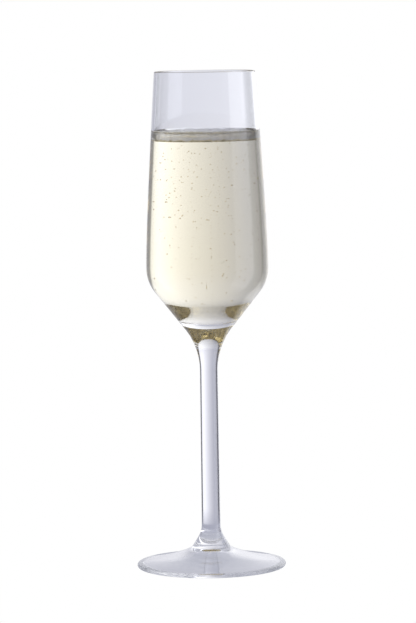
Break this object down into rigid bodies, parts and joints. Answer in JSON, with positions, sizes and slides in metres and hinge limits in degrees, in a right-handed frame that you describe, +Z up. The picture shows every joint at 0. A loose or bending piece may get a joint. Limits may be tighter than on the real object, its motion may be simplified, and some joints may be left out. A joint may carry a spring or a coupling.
{
  "type": "champagne flute",
  "caption": "Tall clear glass flute with a tapering bowl on a slim stem and flat round foot, holding pale sparkling wine under a thin head of foam.",
  "frame": {"origin": "centre of the ring that the foot stands on, at table height", "axes": "+Z up along the axis that every piece is turned about; +X and +Y are equal, because the flute is round"},
  "size_m": [0.069, 0.069, 0.23],
  "materials": {
    "bowl_glass": "polished",
    "stem_glass": "polished",
    "foot_glass": "polished",
    "sparkling_wine": "polished",
    "foam_head": "satin"
  },
  "bodies": {
    "root": {"bowl": "bowl_glass", "stem": "stem_glass", "foot": "foot_glass", "wine": "sparkling_wine", "foam": "foam_head"}
  },
  "joints": []
}
